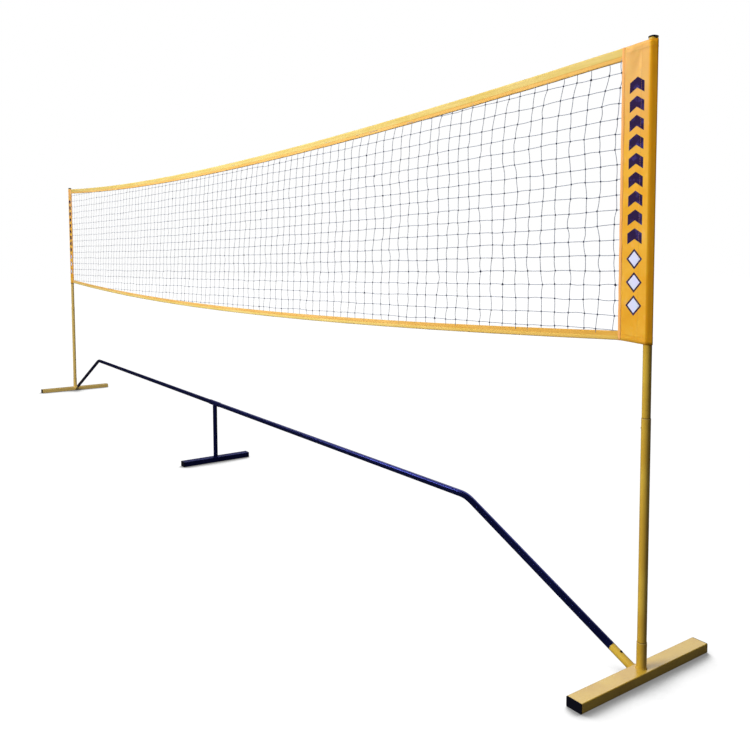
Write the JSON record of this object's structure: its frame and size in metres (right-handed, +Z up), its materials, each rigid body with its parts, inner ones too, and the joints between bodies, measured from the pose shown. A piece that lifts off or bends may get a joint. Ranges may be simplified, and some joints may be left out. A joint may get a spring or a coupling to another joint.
{
  "type": "volleyball net on poles",
  "caption": "Free-standing sports net: knotted net with tapes between two plug-in poles on box feet, joined by a raised floor rail.",
  "frame": {"origin": "on the floor at mid-span, under the line between the two pole axes", "axes": "+X along the net towards the right pole, +Y along the feet, +Z up"},
  "size_m": [5.225, 0.49, 1.55],
  "materials": {
    "mustard_paint": "powder coat, satin",
    "navy_paint": "powder coat, gloss",
    "black_plastic": "moulded, fine grain",
    "spring_steel": "bare strip",
    "sleeve_fabric": "coated woven polyester",
    "tape_fabric": "woven tape, sewn along both edges",
    "net_cord": "twisted cord, knotted"
  },
  "bodies": {
    "base": {"end_foot_left": "mustard_paint", "end_foot_right": "mustard_paint", "end_foot_caps_left": "black_plastic", "end_foot_caps_right": "black_plastic", "pole_socket_left": "mustard_paint", "pole_socket_right": "mustard_paint", "rail_socket_left": "mustard_paint", "rail_socket_right": "mustard_paint", "rail_left": "navy_paint", "rail_right": "navy_paint", "rail_spring_left": "spring_steel", "rail_spring_right": "spring_steel", "rail_coupler": "navy_paint", "centre_leg": "navy_paint", "centre_foot": "navy_paint", "centre_foot_caps": "black_plastic"},
    "poles": {"lower_pole_left": "mustard_paint", "lower_pole_right": "mustard_paint", "upper_pole_left": "mustard_paint", "upper_pole_right": "mustard_paint", "pole_cap_left": "black_plastic", "pole_cap_right": "black_plastic", "pole_spring_left": "spring_steel", "pole_spring_right": "spring_steel", "sleeve_left": "sleeve_fabric", "sleeve_right": "sleeve_fabric", "top_tape": "tape_fabric", "bottom_tape": "tape_fabric", "net": "net_cord"},
    "pole_button_left": {"pole_button_left": "black_plastic"},
    "pole_button_right": {"pole_button_right": "black_plastic"},
    "rail_button_left": {"rail_button_left": "black_plastic"},
    "rail_button_right": {"rail_button_right": "black_plastic"}
  },
  "joints": [
    {"name": "pole_lift", "type": "slide", "parent": "base", "child": "poles", "axis": [0, 0, 1], "range_m": [0, 0.07]},
    {"name": "press_pole_left", "type": "slide", "parent": "poles", "child": "pole_button_left", "axis": [-1, 0, 0], "range_m": [0, 0.004], "stiffness_N_per_m": 1500, "springref_m": -0.004, "deforming": ["pole_spring_left"]},
    {"name": "press_pole_right", "type": "slide", "parent": "poles", "child": "pole_button_right", "axis": [1, 0, 0], "range_m": [0, 0.004], "stiffness_N_per_m": 1500, "springref_m": -0.004, "deforming": ["pole_spring_right"]},
    {"name": "press_rail_left", "type": "slide", "parent": "base", "child": "rail_button_left", "axis": [0.4139, 0, -0.9103], "range_m": [0, 0.0044], "stiffness_N_per_m": 1500, "springref_m": -0.004, "deforming": ["rail_spring_left"]},
    {"name": "press_rail_right", "type": "slide", "parent": "base", "child": "rail_button_right", "axis": [-0.4139, 0, -0.9103], "range_m": [0, 0.0044], "stiffness_N_per_m": 1500, "springref_m": -0.004, "deforming": ["rail_spring_right"]}
  ]
}
